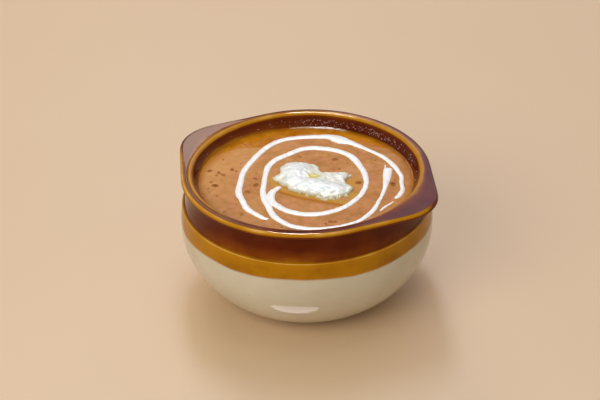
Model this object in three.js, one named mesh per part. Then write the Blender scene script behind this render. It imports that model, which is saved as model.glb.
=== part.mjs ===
// A lug-handled stoneware soup crock, filled with dal, with a lump of white butter on top.
// Millimetres, +Z up. The origin is on the table under the centre of the foot, and the
// two lugs lie along X. Each piece is one closed solid, 0.3 mm clear of its neighbours.
import * as THREE from 'three';
import { mergeVertices } from 'three/addons/utils/BufferGeometryUtils.js';

// Driving dimensions of the crock
const CROCK_HEIGHT = 65; // table to the crest of the rim
const FOOT_RADIUS = 36.5; // outside of the foot ring
const FOOT_WIDTH = 4.2; // flat width of the foot ring
const FOOT_RECESS = 1.6; // depth of the hollow inside the foot ring
const BODY_START = 2.4; // height where the foot ring meets the round of the body
const BELLY_RADIUS = 61.1; // widest radius of the body
const BELLY_HEIGHT = 37; // height of that widest place
const BELLY_DEPTH = 45.2; // vertical half axis of the ellipse below the belly
const SHOULDER_RADIUS = 60.3; // edge of the step between body and neck
const SHOULDER_HEIGHT = 49.6; // top of that step
const SHOULDER_ROUND = 1.1; // rounding of its edge
const NECK_FOOT_RADIUS = 59; // neck just above the step
const NECK_TOP_RADIUS = 58.1; // neck just under the rim
const RIM_RADIUS = 60; // outside of the rim, between the lugs
const RIM_TOP_ROUND = 1.8; // rounding of the rim's outer edge, above
const RIM_THICKNESS = 2.7; // height of the rim's outer edge
const MOUTH_RADIUS = 56; // crest of the bead round the mouth
const MOUTH_BEAD_ROUND = 1.5; // rounding of that bead
const CHANNEL_DEPTH = 0.5; // hollow in the rim's top face
const WALL_RADIUS = 51.4; // inside of the wall at the level of the dal
const WALL_DRAFT = 0.9; // how much the inside narrows below that level
const INNER_CORNER = 24; // round between the inside wall and the floor
const FLOOR_HEIGHT = 7; // inside floor above the table
const LUG_REACH = 9.2; // how far a lug stands out past the rim
const LUG_END_RADIUS = 22; // rounding of a lug's end, seen from above
const LUG_GUSSET = 2.2; // how far a lug's root reaches down the neck

// Driving dimensions of the food
const DAL_LEVEL = 59.4; // height of the dal's surface
const MENISCUS = 0.35; // how far the dal creeps up the wall
const GAP = 0.3; // clearance between pieces that touch
const BUTTER_CENTRE = new THREE.Vector2(3.2, 0.6);
const BUTTER_HEIGHT = 4.6; // top of the lump above the dal
const BUTTER_WAIST = 11.4; // outline radius between its lobes
const BUTTER_LOBES = [
  { at: 165, reach: 9, spread: 30 },
  { at: 54, reach: 6.8, spread: 17 },
  { at: -3, reach: 9, spread: 20 },
  { at: -36, reach: 7.4, spread: 13 },
  { at: -96, reach: 3, spread: 34 },
  { at: -150, reach: 6, spread: 22 },
];

const CROCK_SEGMENTS = 72;
const DAL_SEGMENTS = 60;
const BUTTER_SEGMENTS = 44;
const BUTTER_RINGS = 8;

// A profile point: radius, height, and its share of the lug's reach and of its gusset
const point = (radius, height, lug = 0, gusset = 0) => ({ radius, height, lug, gusset });

// Points of an arc in the profile plane, angles in degrees from the outward direction
function arc(radius, height, round, from, to, steps, lug = 0) {
  return Array.from({ length: steps + 1 }, (_, i) => {
    const angle = THREE.MathUtils.degToRad(from + ((to - from) * i) / steps);
    return point(radius + round * Math.cos(angle), height + round * Math.sin(angle), lug);
  });
}

function footProfile() {
  const inside = FOOT_RADIUS - FOOT_WIDTH;
  return [
    point(0, FOOT_RECESS),
    point(inside - 1.2, FOOT_RECESS),
    point(inside - 0.5, FOOT_RECESS * 0.4),
    point(inside, 0),
    point(FOOT_RADIUS - 0.6, 0),
    point(FOOT_RADIUS, 0.7),
    point(FOOT_RADIUS + 0.2, BODY_START * 0.6),
  ];
}

// The lower body is part of an ellipse, and the band above the belly leans in a little
function bodyProfile() {
  const below = 8;
  const above = 3;
  const startAngle = Math.asin((BELLY_HEIGHT - BODY_START) / BELLY_DEPTH);
  const shoulderStart = SHOULDER_HEIGHT - SHOULDER_ROUND;
  const points = [];
  for (let i = 0; i <= below; i += 1) {
    const angle = startAngle * (1 - i / below);
    points.push(point(
      BELLY_RADIUS * Math.cos(angle),
      BELLY_HEIGHT - BELLY_DEPTH * Math.sin(angle),
    ));
  }
  for (let i = 1; i < above; i += 1) {
    const t = i / above;
    points.push(point(
      BELLY_RADIUS - (BELLY_RADIUS - SHOULDER_RADIUS) * t * t,
      BELLY_HEIGHT + (shoulderStart - BELLY_HEIGHT) * t,
    ));
  }
  return points.concat(arc(
    SHOULDER_RADIUS - SHOULDER_ROUND, shoulderStart, SHOULDER_ROUND, 0, 75, 3,
  ));
}

// The neck is a band, slightly hollow, from the step up to the underside of the rim
function neckProfile() {
  const foot = SHOULDER_HEIGHT + 0.3;
  const top = CROCK_HEIGHT - RIM_THICKNESS - 0.6;
  const steps = 4;
  return Array.from({ length: steps + 1 }, (_, i) => {
    const t = i / steps;
    const lean = NECK_FOOT_RADIUS + (NECK_TOP_RADIUS - NECK_FOOT_RADIUS) * t;
    const hollow = 0.35 * Math.sin(Math.PI * t);
    return point(lean - hollow, foot + (top - foot) * t, 0, t * t);
  });
}

// The rim: underside, rounded outer edge, shallow channel on top and a bead at the mouth
function rimProfile() {
  const underside = CROCK_HEIGHT - RIM_THICKNESS;
  const edgeTop = CROCK_HEIGHT - 0.1;
  const bottomRound = edgeTop - RIM_TOP_ROUND - underside;
  const topCentre = RIM_RADIUS - RIM_TOP_ROUND;
  const bottomCentre = RIM_RADIUS - bottomRound;
  const beadCentre = MOUTH_RADIUS - 0.1;
  const channel = CROCK_HEIGHT - CHANNEL_DEPTH;
  return [
    point(NECK_TOP_RADIUS + 0.35, underside - 0.2, 0.15, 0.8),
    point(bottomCentre - 0.5, underside, 0.5, 0.45),
    ...arc(bottomCentre, underside + bottomRound, bottomRound, -70, 0, 2, 1),
    ...arc(topCentre, edgeTop - RIM_TOP_ROUND, RIM_TOP_ROUND, 25, 95, 3, 1),
    point(MOUTH_RADIUS + 1.5, channel, 0.4),
    point(MOUTH_RADIUS + 0.8, CROCK_HEIGHT - 0.2),
    ...arc(beadCentre, CROCK_HEIGHT - MOUTH_BEAD_ROUND, MOUTH_BEAD_ROUND, 90, 170, 4),
  ];
}

// Inside of the crock's wall, from under the bead down to the floor, `inset` mm clear of it
function insideProfile(inset, top) {
  const corner = INNER_CORNER - inset;
  const cornerCentre = WALL_RADIUS - WALL_DRAFT - INNER_CORNER;
  const cornerHeight = FLOOR_HEIGHT + INNER_CORNER;
  const wall = [
    point(WALL_RADIUS + 1.1, DAL_LEVEL + 2),
    point(WALL_RADIUS - inset, DAL_LEVEL),
    point(WALL_RADIUS - WALL_DRAFT * 0.5 - inset, DAL_LEVEL - 12),
  ];
  return [
    ...wall.filter((p) => p.height < top),
    ...arc(cornerCentre, cornerHeight, corner, 0, -90, 5),
    point(0, FLOOR_HEIGHT + inset),
  ];
}

// Turns a profile about Z and closes it into one welded skin
function turn(profile, segments) {
  const lathe = new THREE.LatheGeometry(
    profile.map((p) => new THREE.Vector2(p.radius, p.height)), segments,
  );
  lathe.rotateX(Math.PI / 2);
  return lathe;
}

function weld(geometry) {
  geometry.deleteAttribute('normal');
  geometry.deleteAttribute('uv');
  const welded = mergeVertices(geometry, 1e-4);
  const corners = Array.from(welded.index.array);
  const kept = [];
  for (let i = 0; i < corners.length; i += 3) {
    const [a, b, c] = corners.slice(i, i + 3);
    if (a !== b && b !== c && c !== a) kept.push(a, b, c);
  }
  welded.setIndex(kept);
  welded.computeVertexNormals();
  return welded;
}

// How much of the lug stands at an angle about Z: 1 at the tips on +X and -X. Seen from
// above, a lug is two straight flanks that leave the round rim and meet in a rounded end
function lugShare(angle) {
  const fromTip = Math.min(Math.abs(angle), Math.PI - Math.abs(angle));
  const endCentre = RIM_RADIUS + LUG_REACH - LUG_END_RADIUS;
  const flankAngle = Math.acos((RIM_RADIUS - LUG_END_RADIUS) / endCentre);
  const flankStart = Math.atan2(
    LUG_END_RADIUS * Math.sin(flankAngle),
    endCentre + LUG_END_RADIUS * Math.cos(flankAngle),
  );
  if (fromTip > flankAngle) return 0;
  if (fromTip > flankStart) return (RIM_RADIUS / Math.cos(flankAngle - fromTip) - RIM_RADIUS) / LUG_REACH;
  const across = endCentre * Math.sin(fromTip);
  const outline = endCentre * Math.cos(fromTip) + Math.sqrt(LUG_END_RADIUS ** 2 - across ** 2);
  return (outline - RIM_RADIUS) / LUG_REACH;
}

function crockGeometry() {
  const profile = [
    ...footProfile(), ...bodyProfile(), ...neckProfile(), ...rimProfile(),
    ...insideProfile(0, CROCK_HEIGHT),
  ];
  const geometry = turn(profile, CROCK_SEGMENTS);
  const position = geometry.attributes.position;
  for (let i = 0; i < position.count; i += 1) {
    const { radius, lug, gusset } = profile[i % profile.length];
    const x = position.getX(i);
    const y = position.getY(i);
    const share = lugShare(Math.atan2(y, x));
    const stretch = radius > 0 ? 1 + (LUG_REACH * share * lug) / radius : 1;
    position.setXYZ(i, x * stretch, y * stretch, position.getZ(i) - LUG_GUSSET * share * gusset);
  }
  return weld(geometry);
}

function dalGeometry() {
  const edge = WALL_RADIUS - GAP;
  const surface = [
    point(edge - 0.8, DAL_LEVEL),
    point(edge - 2.6, DAL_LEVEL - MENISCUS),
    point(edge * 0.5, DAL_LEVEL - MENISCUS),
    point(0, DAL_LEVEL - MENISCUS),
  ];
  const wall = insideProfile(GAP, DAL_LEVEL + 1);
  return weld(turn([...wall.reverse(), ...surface], DAL_SEGMENTS));
}

// How far the lobes of the butter lump stand out past its waist at an angle about its centre
function butterLobes(angle) {
  const degrees = THREE.MathUtils.radToDeg(angle);
  return BUTTER_LOBES.reduce((reach, lobe) => {
    const turned = THREE.MathUtils.euclideanModulo(degrees - lobe.at + 180, 360) - 180;
    return reach + lobe.reach * Math.exp(-((turned / lobe.spread) ** 2));
  }, 0);
}

// A low dome with a blunt edge. Its profile is in shares of the outline radius, and the
// lobes show at the edge and die away towards the top
function butterGeometry() {
  const base = DAL_LEVEL - MENISCUS + GAP;
  const edge = 1; // height of its blunt edge
  const profile = [point(0, base), point(0.96, base), point(1, base + edge * 0.5)];
  for (let i = 0; i < BUTTER_RINGS; i += 1) {
    const out = Math.cos((Math.PI / 2) * (i / BUTTER_RINGS));
    const rise = edge + (BUTTER_HEIGHT - GAP - edge) * (1 - out ** 2.2);
    profile.push(point(out * 0.97, base + rise));
  }
  profile.push(point(0, base + BUTTER_HEIGHT - GAP));
  const geometry = turn(profile, BUTTER_SEGMENTS);
  const position = geometry.attributes.position;
  for (let i = 0; i < position.count; i += 1) {
    const x = position.getX(i);
    const y = position.getY(i);
    const share = Math.hypot(x, y);
    const radius = BUTTER_WAIST + butterLobes(Math.atan2(y, x)) * share ** 2;
    position.setXY(i, BUTTER_CENTRE.x + x * radius, BUTTER_CENTRE.y + y * radius);
  }
  return weld(geometry);
}

const materials = {
  stoneware: new THREE.MeshStandardMaterial({ color: 0x5a2c10, roughness: 0.22, metalness: 0 }),
  dal: new THREE.MeshStandardMaterial({ color: 0xc08a58, roughness: 0.35, metalness: 0 }),
  butter: new THREE.MeshStandardMaterial({ color: 0xf4f2e6, roughness: 0.45, metalness: 0 }),
};

function piece(name, geometry, material) {
  const mesh = new THREE.Mesh(geometry, material);
  mesh.name = name;
  return mesh;
}

const group = new THREE.Group();
group.add(piece('bowl', crockGeometry(), materials.stoneware));
group.add(piece('dal', dalGeometry(), materials.dal));
group.add(piece('butter', butterGeometry(), materials.butter));

export default group;
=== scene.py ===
"""A lug-handled stoneware crock of dal makhani, with a swirl of cream and a lump of white butter.

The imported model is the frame. Each operator models one piece, or one group of like pieces,
where the frame has it, and main() calls them in order. Metres, +Z up, the lugs along X.
"""

import math
import random
from typing import NamedTuple

import bmesh
import bpy
from mathutils import Matrix, Vector


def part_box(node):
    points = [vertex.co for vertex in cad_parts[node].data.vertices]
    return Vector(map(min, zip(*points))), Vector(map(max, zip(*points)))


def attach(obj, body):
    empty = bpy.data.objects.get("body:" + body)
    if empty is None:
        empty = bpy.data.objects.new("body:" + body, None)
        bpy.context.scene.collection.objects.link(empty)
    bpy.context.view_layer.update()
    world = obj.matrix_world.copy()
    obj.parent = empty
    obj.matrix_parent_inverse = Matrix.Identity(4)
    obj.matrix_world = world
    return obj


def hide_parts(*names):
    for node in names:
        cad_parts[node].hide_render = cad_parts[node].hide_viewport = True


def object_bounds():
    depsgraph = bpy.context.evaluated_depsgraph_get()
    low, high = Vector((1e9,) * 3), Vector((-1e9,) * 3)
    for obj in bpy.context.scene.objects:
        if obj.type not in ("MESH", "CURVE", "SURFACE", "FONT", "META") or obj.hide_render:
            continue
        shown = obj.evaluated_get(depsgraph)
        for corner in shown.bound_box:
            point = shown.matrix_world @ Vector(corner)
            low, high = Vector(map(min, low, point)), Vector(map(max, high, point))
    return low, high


bl_info = {
    "name": "Dal Makhani Crock",
    "version": (1, 0, 0),
    "blender": (4, 5, 0),
    "location": "3D View > Sidebar > Dal Crock",
    "description": "Models a stoneware crock of dal makhani with cream and white butter",
    "category": "Add Mesh",
}

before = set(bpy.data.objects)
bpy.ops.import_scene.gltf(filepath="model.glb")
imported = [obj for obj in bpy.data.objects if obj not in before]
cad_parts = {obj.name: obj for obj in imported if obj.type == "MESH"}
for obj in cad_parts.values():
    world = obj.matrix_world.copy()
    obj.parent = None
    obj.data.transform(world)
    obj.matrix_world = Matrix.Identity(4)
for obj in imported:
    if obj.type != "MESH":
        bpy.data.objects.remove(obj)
CAD_LOW, CAD_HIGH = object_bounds()
DAL_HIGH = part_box("dal")[1]

MM = 0.001
CROCK_HEIGHT = CAD_HIGH.z
BELLY_RADIUS = CAD_HIGH.y  # widest radius of the round body
DAL_LEVEL = DAL_HIGH.z  # where the dal meets the wall
MENISCUS = 0.35 * MM  # how far the dal creeps up the wall
SURFACE = DAL_LEVEL - MENISCUS  # level of the dal away from the wall
WALL_RADIUS = 51.4 * MM  # inside of the crock's wall at the dal


# Colours and nodes


def tone(code):
    """An sRGB hex code as a linear colour with alpha."""
    channels = [int(code[i : i + 2], 16) / 255 for i in (0, 2, 4)]
    linear = [c / 12.92 if c <= 0.04045 else ((c + 0.055) / 1.055) ** 2.4 for c in channels]
    return (*linear, 1.0)


def add_node(material, kind, inputs=None, stops=None, **settings):
    """Adds a node with its settings, its input values or links, and a ramp's stops."""
    node = material.node_tree.nodes.new(kind)
    for name, value in settings.items():
        setattr(node, name, value)
    for name, value in (inputs or {}).items():
        if isinstance(value, bpy.types.NodeSocket):
            material.node_tree.links.new(value, node.inputs[name])
        else:
            node.inputs[name].default_value = value
    if stops:
        ramp = node.color_ramp
        while len(ramp.elements) < len(stops):
            ramp.elements.new(1.0)
        for element, (place, colour) in zip(ramp.elements, stops):
            element.position = place
            element.color = colour
    return node


def new_material(name):
    """An empty node material of that name."""
    material = bpy.data.materials.new(name)
    material.use_nodes = True
    material.node_tree.nodes.clear()
    return material


# Places and shares


def compass(place):
    """The angle of a place about the crock's axis, in degrees from +X."""
    return math.degrees(math.atan2(place.y, place.x))


def from_wall(place):
    """How far a place on the dal lies from the wall."""
    return WALL_RADIUS - math.hypot(place.x, place.y)


def smoothstep(low, high, value):
    """0 at low, 1 at high and an even S between them, also where low is the larger one."""
    share = min(1.0, max(0.0, (value - low) / (high - low)))
    return share * share * (3 - 2 * share)


def around(angle, centre, spread):
    """1 at a compass angle in degrees and fading over the spread to each side."""
    turned = (angle - centre + 180) % 360 - 180
    return math.exp(-((turned / spread) ** 2))


def towards(angle, centre):
    """1 at a compass angle in degrees, 0 square to it and -1 opposite."""
    return math.cos(math.radians(angle - centre))


def along(line, place):
    """The value of a broken line at a place along it, or nothing beyond its ends."""
    for (before, low), (after, high) in zip(line, line[1:]):
        if before <= place <= after:
            return low + (high - low) * (place - before) / (after - before)
    return None


# Shaping and finishing


def edit_mesh(piece):
    """Opens the piece's mesh in edit mode with nothing selected."""
    bpy.context.view_layer.objects.active = piece
    bpy.ops.object.mode_set(mode="EDIT")
    bpy.ops.mesh.select_mode(type="VERT")
    bpy.ops.mesh.select_all(action="DESELECT")
    return bmesh.from_edit_mesh(piece.data)


def close_up(piece):
    """Merges doubles, turns all faces outwards and leaves edit mode."""
    bpy.ops.mesh.select_all(action="SELECT")
    bpy.ops.mesh.remove_doubles(threshold=0.002 * MM)
    bpy.ops.mesh.normals_make_consistent(inside=False)
    bpy.ops.object.mode_set(mode="OBJECT")
    bpy.ops.object.select_all(action="DESELECT")
    piece.select_set(True)


def apply_modifier(piece, kind, **settings):
    """Adds a modifier with its settings and applies it."""
    bpy.ops.object.select_all(action="DESELECT")
    piece.select_set(True)
    bpy.context.view_layer.objects.active = piece
    bpy.ops.object.modifier_add(type=kind)
    modifier = piece.modifiers[-1]
    for name, value in settings.items():
        setattr(modifier, name, value)
    bpy.ops.object.modifier_apply(modifier=modifier.name)


def weigh(piece, name, share):
    """Makes a vertex group from a function of each vertex's place."""
    group = piece.vertex_groups.new(name=name)
    for vertex in piece.data.vertices:
        value = share(vertex.co)
        if value > 0:
            group.add([vertex.index], value, "REPLACE")
    return name


def lift(piece, name, share, height):
    """Lifts each place of a piece by its own share of a height."""
    group = weigh(piece, name, share)
    apply_modifier(
        piece, "DISPLACE", direction="Z", mid_level=0.0, strength=height, vertex_group=group
    )


def roughen(piece, name, lumps, **settings):
    """Pushes a piece's surface out and in, in soft lumps of each size and strength given."""
    for size, strength in lumps:
        texture = bpy.data.textures.new(name, type="CLOUDS")
        texture.noise_scale = size
        texture.noise_depth = 2
        apply_modifier(piece, "DISPLACE", texture=texture, strength=strength, **settings)


def lay_knots(curve, points, level):
    """Gives a curve a smooth knot at each point, which starts with east and north in mm."""
    spline = curve.data.splines[0]
    spline.bezier_points.add(len(points) - len(spline.bezier_points))
    for knot, (east, north, *_) in zip(spline.bezier_points, points):
        knot.handle_left_type = "AUTO"
        knot.handle_right_type = "AUTO"
        knot.co = (east * MM, north * MM, level)
    return spline.bezier_points


def set_copy(first, place, turn, scale):
    """Sets a copy of a piece, with its own mesh, at a place."""
    copy = first.copy()
    copy.data = first.data.copy()
    bpy.context.collection.objects.link(copy)
    copy.location = place
    copy.rotation_euler = turn
    copy.scale = scale
    return copy


def join_pieces(pieces, name):
    """Joins the pieces into one object of that name, with its place in its mesh."""
    bpy.ops.object.select_all(action="DESELECT")
    for piece in pieces:
        piece.select_set(True)
    bpy.context.view_layer.objects.active = pieces[0]
    bpy.ops.object.join()
    joined = bpy.context.object
    bpy.ops.object.transform_apply(location=True, rotation=True, scale=True)
    joined.name = name
    return joined


def finish_piece(piece, material):
    """Gives a finished piece its material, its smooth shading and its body."""
    piece.data.materials.clear()
    piece.data.materials.append(material)
    bpy.ops.object.select_all(action="DESELECT")
    piece.select_set(True)
    bpy.context.view_layer.objects.active = piece
    bpy.ops.object.shade_smooth()
    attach(piece, "root")


# The crock

BELLY_DEPTH = 45.2 * MM  # vertical half axis of the body's curve below the belly
BODY_FOOT = 2.4 * MM  # height at which that curve leaves the foot
NECK_HOLLOW = 0.35 * MM  # how far the neck is drawn in halfway up
FLOOR_THICKNESS = 7 * MM
CORNER_ROUND = 24 * MM  # from the inside of the wall to the floor
WALL_DRAFT = 0.9 * MM  # how far the wall leans in from the dal's level to that round

# Sides of the crock, as a compass angle in degrees, most of them with their spread
WARPED_RIM = (120, 34)  # the fired rim stands a little proud
NECK_GLOW_AND_LUG_SHADE = (-68, 42)  # the neck's foot is paler here; darker towards the lugs is painted shade under them
BEAD_FRONT_REFLECTION = (-57, 62)  # painted reflection: the mouth's bead is darker brown on the front, facing the view
SMEARED_WALL = (178, 45)  # oil smears the wall by the dal
THIN_CHANNEL = 100  # middle of the side where the glaze of the rim's channel ran thin
POOLED_EDGE = 97  # middle of the side where it pooled on the rim's outer edge


class Station(NamedTuple):
    """One ring of the crock, with how thin its glaze lies and its shares of the lugs."""

    radius: float
    height: float
    thin: float = 0.0
    lug: float = 0.0  # share of the lugs' reach
    gusset: float = 0.0  # share of the drop below the lugs
    bare: float = 0.0  # 1 where the clay has no glaze


def on_arc(centre, bend, angle, **shares):
    """A station on an arc about a radius and height, by degrees from straight outwards."""
    turn = math.radians(angle)
    radius, height = centre
    return Station(radius + bend * math.cos(turn), height + bend * math.sin(turn), **shares)


def foot_stations(crock):
    """The recessed base and the unglazed ring that the crock stands on."""
    inside = crock.foot_radius - crock.foot_width
    recess = crock.foot_recess
    return [
        Station(inside * 0.5, recess, bare=1),
        Station(inside - 1.4 * MM, recess, bare=1),
        Station(inside - 0.6 * MM, recess * 0.6, bare=1),
        Station(inside - 0.1 * MM, 0.15 * MM, bare=1),
        Station(inside + 0.5 * MM, 0, bare=1),
        Station(crock.foot_radius - 0.7 * MM, 0, bare=1),
        Station(crock.foot_radius - 0.1 * MM, 0.2 * MM, bare=1),
        Station(crock.foot_radius + 0.1 * MM, 0.9 * MM, bare=0.5),
        Station(crock.foot_radius + 0.3 * MM, 1.6 * MM),
    ]


def body_stations(crock):
    """The round body, the amber band above its belly and the shoulder's edge, with a painted
    highlight.
    """
    lowest = math.asin((crock.belly_height - BODY_FOOT) / BELLY_DEPTH)
    found = []
    steps = 9
    for step in range(steps + 1):
        angle = lowest * (1 - step / steps)
        height = crock.belly_height - BELLY_DEPTH * math.sin(angle)
        found.append(Station(BELLY_RADIUS * math.cos(angle), height, thin=0.6))
    edge = crock.shoulder_height - crock.shoulder_round
    lean = BELLY_RADIUS - crock.shoulder_radius
    steps = 5
    for step in range(1, steps):
        share = step / steps
        height = crock.belly_height + (edge - crock.belly_height) * share
        found.append(Station(BELLY_RADIUS - lean * share * share, height, thin=0.6))
    centre = (crock.shoulder_radius - crock.shoulder_round, edge)
    # The ring at 38 degrees is painted palest: a painted highlight along the shoulder's edge,
    # over glaze breaking amber
    for angle, thin in ((-10, 0.68), (14, 0.68), (38, 1.0), (62, 0.55), (85, 0.55)):
        found.append(on_arc(centre, crock.shoulder_round, angle, thin=thin))
    return found


def neck_stations(crock):
    """The neck, a slightly hollow band from the shoulder up to the underside of the rim."""
    crease = crock.shoulder_height + 0.02 * MM
    foot = crock.shoulder_height + 0.25 * MM
    top = CROCK_HEIGHT - crock.rim_thickness - 0.6 * MM
    taper = crock.neck_top_radius - crock.neck_foot_radius
    found = [Station(crock.neck_foot_radius + 0.1 * MM, crease, thin=0.5)]
    steps = 6
    for step in range(steps + 1):
        share = step / steps
        hollow = NECK_HOLLOW * math.sin(math.pi * share)
        radius = crock.neck_foot_radius + taper * share - hollow
        height = foot + (top - foot) * share
        thin = 0.42 * smoothstep(0.6, 0.05, share)
        found.append(Station(radius, height, thin, gusset=share * share))
    return found


def rim_stations(crock):
    """The rim: underside, rounded outer edge, shallow channel on top and the mouth's bead."""
    underside = CROCK_HEIGHT - crock.rim_thickness
    edge = CROCK_HEIGHT - 0.1 * MM
    upper = crock.rim_round
    lower = edge - upper - underside
    channel = CROCK_HEIGHT - crock.channel_depth
    mouth = crock.mouth_radius
    found = [
        Station(crock.neck_top_radius + 0.35 * MM, underside - 0.2 * MM, lug=0.15, gusset=0.8),
        Station(crock.rim_radius - lower - 0.5 * MM, underside, 0.05, lug=0.5, gusset=0.45),
    ]
    centre = (crock.rim_radius - lower, underside + lower)
    for angle in (-70, -40, -10):
        found.append(on_arc(centre, lower, angle, thin=0.2, lug=1))
    centre = (crock.rim_radius - upper, edge - upper)
    for angle, thin in ((8, 0.35), (28, 0.75), (48, 0.9), (68, 0.9), (84, 0.4), (96, 0.15)):
        found.append(on_arc(centre, upper, angle, thin=thin, lug=1))
    found += [
        Station(mouth + 1.75 * MM, channel + 0.03 * MM, 0.08, lug=0.88),
        Station(mouth + 1.4 * MM, channel, 0.08, lug=0.4),
        Station(mouth + 0.8 * MM, channel + 0.04 * MM, 0.5),
    ]
    centre = (mouth - 0.1 * MM, CROCK_HEIGHT - crock.bead_round)
    for angle, thin in ((90, 0.87), (105, 0.87), (130, 0.9), (155, 0.75), (180, 0.2)):
        found.append(on_arc(centre, crock.bead_round, angle, thin=thin))
    return found


def inside_stations(inset, top):
    """The wall from under the bead down to the floor, inset from the clay, below top."""
    found = [
        Station(WALL_RADIUS + 2.5 * MM, DAL_LEVEL + 3.2 * MM, 0.1),
        Station(WALL_RADIUS + 1.4 * MM, DAL_LEVEL + 2 * MM, 0.3),
        Station(WALL_RADIUS - inset, DAL_LEVEL, 0.85),
        Station(WALL_RADIUS - inset - WALL_DRAFT * 0.1, DAL_LEVEL - 3 * MM),
    ]
    centre = (WALL_RADIUS - WALL_DRAFT - CORNER_ROUND, FLOOR_THICKNESS + CORNER_ROUND)
    for angle in (0, -30, -60, -90):
        found.append(on_arc(centre, CORNER_ROUND - inset, angle))
    found.append(Station(0, FLOOR_THICKNESS + inset))
    return [station for station in found if station.height < top]


def extrude_ring(before, station):
    """Extrudes the selected ring to the next station's height and radius."""
    rise = station.height - before.height
    bpy.ops.mesh.extrude_region_move(TRANSFORM_OT_translate={"value": (0, 0, rise)})
    share = station.radius / before.radius
    centre = (0, 0, station.height)
    bpy.ops.transform.resize(value=(share, share, 1), center_override=centre)


def breaking_at(place, station, crock):
    """How thin the glaze of a ring lies at a place.

    It ran and pooled unevenly round the rim, and a smear of oil on the wall looks the same.
    The neck is painted darker towards the lugs as their shade, and the bead darker on the front
    as a painted reflection.
    """
    angle = compass(place)
    if place.z < crock.shoulder_height:
        return station.thin
    # The wall inside, below the bead
    if station.radius < WALL_RADIUS + 2.6 * MM:
        return station.thin * around(angle, *SMEARED_WALL)
    # The neck
    if place.z < CROCK_HEIGHT - crock.rim_thickness:
        # Painted shade: the neck's paler foot fades to dark towards the lugs, as the shade under
        # them
        return station.thin * (0.2 + 0.8 * around(angle, *NECK_GLOW_AND_LUG_SHADE))
    # The bead
    if station.radius < crock.mouth_radius + 1 * MM:
        # Painted reflection: the bead is darker brown on the front, facing the view
        return station.thin * (1 - 0.75 * around(angle, *BEAD_FRONT_REFLECTION))
    # The channel
    if station.lug < 1 and place.z > CROCK_HEIGHT - 2 * crock.channel_depth:
        return station.thin + 0.36 * smoothstep(0.3, 0.6, towards(angle, THIN_CHANNEL))
    # The rim's outer edge and its underside
    return station.thin * (1 - 0.85 * smoothstep(-0.29, 0.02, towards(angle, POOLED_EDGE)))


def glaze_ring(piece, number, station, crock):
    """Marks the selected ring with its number and with how its glaze lies."""
    mesh = bmesh.from_edit_mesh(piece.data)
    ring = mesh.verts.layers.int["ring"]
    thin = mesh.verts.layers.float["thin"]
    bare = mesh.verts.layers.float["bare"]
    for vertex in mesh.verts:
        if vertex.select:
            vertex[ring] = number
            vertex[thin] = breaking_at(vertex.co, station, crock)
            vertex[bare] = station.bare


def lug_share(from_tip, crock):
    """How far the lugs stand out at an angle from their tip: round ends, straight flanks."""
    end = crock.lug_end_radius
    end_centre = crock.rim_radius + crock.lug_reach - end
    flank = math.acos((crock.rim_radius - end) / end_centre)
    flank_start = math.atan2(end * math.sin(flank), end_centre + end * math.cos(flank))
    if from_tip > flank:
        return 0.0
    if from_tip > flank_start:
        outline = crock.rim_radius / math.cos(flank - from_tip)
    else:
        across = end_centre * math.sin(from_tip)
        outline = end_centre * math.cos(from_tip) + math.sqrt(end * end - across * across)
    return (outline - crock.rim_radius) / crock.lug_reach


def select_columns(piece, number, turn, reach):
    """Selects a ring's vertices at an angle from the tips of both lugs."""
    mesh = bmesh.from_edit_mesh(piece.data)
    ring = mesh.verts.layers.int["ring"]
    for vertex in mesh.verts:
        angle = abs(math.atan2(vertex.co.y, vertex.co.x))
        from_tip = min(angle, math.pi - angle)
        vertex.select = vertex[ring] == number and abs(from_tip - turn) < reach
    mesh.select_flush_mode()
    bmesh.update_edit_mesh(piece.data)


def pull_lugs(piece, stations, crock):
    """Stretches each ring outwards at the lugs, and drops the lugs' roots down the neck."""
    step = 2 * math.pi / crock.columns
    for number, station in enumerate(stations):
        if not station.lug and not station.gusset:
            continue
        for column in range(crock.columns // 4):
            share = lug_share(column * step, crock)
            if not share:
                break
            select_columns(piece, number, column * step, step / 4)
            out = 1 + crock.lug_reach * share * station.lug / station.radius
            centre = (0, 0, station.height)
            bpy.ops.transform.resize(value=(out, out, 1), center_override=centre)
            drop = crock.lug_gusset * share * station.gusset
            bpy.ops.transform.translate(value=(0, 0, -drop))


def proud_at(place):
    """How much of the fired rim's slight warp a place has, from 0 to 1."""
    rise = smoothstep(DAL_LEVEL, CROCK_HEIGHT - 2 * MM, place.z)
    return around(compass(place), *WARPED_RIM) * rise


def model_crock(crock):
    """Turns the crock ring by ring, then pulls the two lugs out of the rim and the neck."""
    stations = foot_stations(crock) + body_stations(crock) + neck_stations(crock)
    stations += rim_stations(crock) + inside_stations(0.0, CROCK_HEIGHT)
    first = stations[0]
    bpy.ops.object.select_all(action="DESELECT")
    bpy.ops.mesh.primitive_circle_add(
        vertices=crock.columns,
        radius=first.radius,
        fill_type="TRIFAN",
        location=(0, 0, first.height),
    )
    piece = bpy.context.object
    piece.name = "stoneware_crock"
    bpy.ops.object.transform_apply(location=True, rotation=True, scale=True)
    mesh = edit_mesh(piece)
    mesh.verts.layers.float.new("thin")
    mesh.verts.layers.float.new("bare")
    mesh.verts.layers.int.new("ring")
    bmesh.update_edit_mesh(piece.data)
    bpy.ops.mesh.select_all(action="SELECT")
    glaze_ring(piece, 0, first, crock)
    bpy.ops.mesh.select_all(action="DESELECT")
    bpy.ops.mesh.select_non_manifold()
    for number, (before, station) in enumerate(zip(stations, stations[1:]), start=1):
        extrude_ring(before, station)
        glaze_ring(piece, number, station, crock)
    pull_lugs(piece, stations, crock)
    close_up(piece)
    piece.data.attributes.remove(piece.data.attributes["ring"])
    apply_modifier(piece, "SUBSURF", levels=2, render_levels=2)
    lift(piece, "proud", proud_at, crock.warp)
    return piece


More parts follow.
